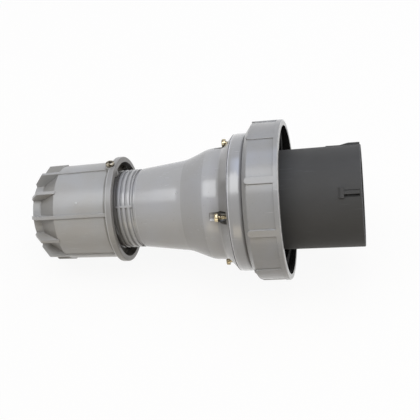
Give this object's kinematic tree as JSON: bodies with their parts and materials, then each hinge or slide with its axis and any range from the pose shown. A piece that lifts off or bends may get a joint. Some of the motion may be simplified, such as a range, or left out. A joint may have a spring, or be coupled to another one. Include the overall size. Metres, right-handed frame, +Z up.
{
  "type": "industrial power plug",
  "caption": "Round watertight industrial power plug: pins in a dark shroud, ribbed locking ring, conical housing and ribbed cable gland nut.",
  "frame": {"origin": "centre of the base under the plug as it lies on its side, on the surface it lies on", "axes": "+X along the plug towards the pins, +Z up; the plug's own axis rises towards the pins by the rest tilt"},
  "size_m": [0.2843, 0.133, 0.14],
  "materials": {
    "housing_grey": "satin moulded grey plastic",
    "nut_grey": "satin moulded grey plastic",
    "flange_grey": "glossy moulded grey plastic",
    "ring_grey": "satin moulded grey plastic",
    "shroud_dark": "satin dark grey plastic",
    "block_black": "black insulating plastic",
    "gland_plastic": "black nylon",
    "black_rubber": "black rubber",
    "contact_brass": "turned brass, nickel tinted",
    "screw_brass": "passivated screw, brassy yellow",
    "screw_steel": "plain steel screw"
  },
  "bodies": {
    "plug_body": {"cable_housing": "housing_grey", "cable_seal": "black_rubber", "housing_gasket": "black_rubber", "front_flange": "flange_grey", "pin_shroud": "shroud_dark", "shroud_screws": "screw_steel", "face_seal": "black_rubber", "contact_block": "block_black", "flange_screw_1": "screw_brass", "flange_screw_2": "screw_brass", "flange_screw_3": "screw_brass", "flange_screw_4": "screw_brass", "phase_pin_1": "contact_brass", "phase_pin_1_screws": "screw_steel", "phase_pin_2": "contact_brass", "phase_pin_2_screws": "screw_steel", "phase_pin_3": "contact_brass", "phase_pin_3_screws": "screw_steel", "earth_pin": "contact_brass", "earth_pin_screws": "screw_steel", "pilot_pin": "contact_brass", "pilot_pin_screws": "screw_steel"},
    "locking_ring": {"locking_ring": "ring_grey"},
    "thrust_ring": {"thrust_ring": "gland_plastic"},
    "gland_nut": {"gland_nut": "nut_grey", "nut_lock_screw": "screw_brass"}
  },
  "joints": [
    {"name": "ring_turn", "type": "hinge", "parent": "plug_body", "child": "locking_ring", "pos_m": [0.04641, 0, 0.06984], "axis": [0.9863, 0, 0.1648], "continuous": true},
    {"name": "gland_slide", "type": "slide", "parent": "plug_body", "child": "thrust_ring", "axis": [0.9863, 0, 0.1648], "range_m": [-0.0252, 0.0084]},
    {"name": "nut_turn", "type": "hinge", "parent": "thrust_ring", "child": "gland_nut", "pos_m": [-0.09971, 0, 0.04543], "axis": [0.9863, 0, 0.1648], "range_deg": [-2160, 720]}
  ],
  "couplings": [
    {"joint": "gland_slide", "follows": "nut_turn", "m_per_rad": 0.00066845}
  ]
}
